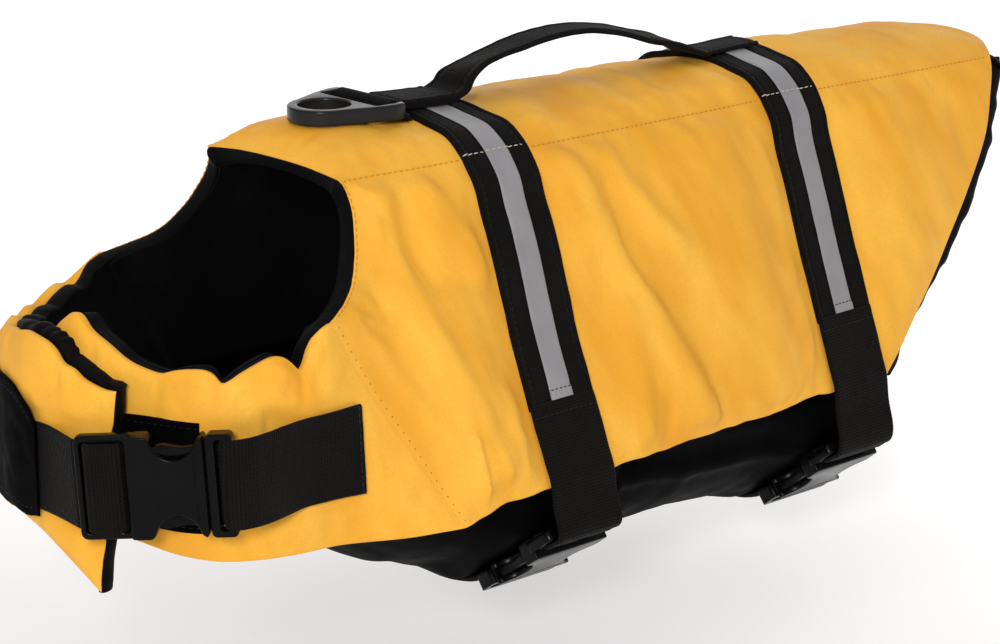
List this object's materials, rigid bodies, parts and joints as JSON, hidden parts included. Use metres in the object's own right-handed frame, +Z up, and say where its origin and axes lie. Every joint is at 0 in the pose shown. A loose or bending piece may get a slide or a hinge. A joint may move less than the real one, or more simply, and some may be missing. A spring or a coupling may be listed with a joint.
{
  "type": "dog life jacket",
  "caption": "Padded dog life jacket, held open as worn: back, side and neck panels, belly panel, webbing straps with buckles, grab handle and hinged lead ring.",
  "frame": {"origin": "on the lining's inner face, under the middle of the back, 100 mm behind the front webbing band's middle: where the wearer's back carries the jacket", "axes": "+X towards the tail, along the back; -Y the dog's left flank; +Z up"},
  "size_m": [0.6092, 0.2215, 0.2491],
  "materials": {
    "cover": "amber yellow coated woven nylon, soft satin sheen",
    "lining": "black fine mesh lining",
    "webbing": "black ribbed polyester webbing",
    "tape": "grey retroreflective tape",
    "plastic": "black moulded acetal, fine satin"
  },
  "bodies": {
    "jacket": {"back_panel": "cover", "side_panel_left": "cover", "side_panel_right": "cover", "neck_band_left": "cover", "neck_band_right": "cover", "lining_body": "lining", "lining_neck_left": "lining", "lining_neck_right": "lining", "belly_panel": "lining", "strap_front_band": "webbing", "reflector_front": "tape", "strap_front_lower_left": "webbing", "strap_front_lower_right": "webbing", "buckle_front_socket": "plastic", "buckle_front_plug": "plastic", "strap_rear_band": "webbing", "reflector_rear": "tape", "strap_rear_lower_left": "webbing", "strap_rear_lower_right": "webbing", "buckle_rear_socket": "plastic", "buckle_rear_plug": "plastic", "neck_strap_left": "webbing", "neck_strap_right": "webbing", "neck_patch_right": "webbing", "neck_loop_patch": "webbing", "buckle_neck_socket": "plastic", "buckle_neck_plug": "plastic", "handle": "webbing", "d_ring_loop": "webbing"},
    "d_ring": {"d_ring": "plastic"}
  },
  "joints": [
    {"name": "d_ring_hinge", "type": "hinge", "parent": "jacket", "child": "d_ring", "pos_m": [-0.1306, 0, 0.02], "axis": [0, 1, 0], "range_deg": [0, 110]}
  ]
}
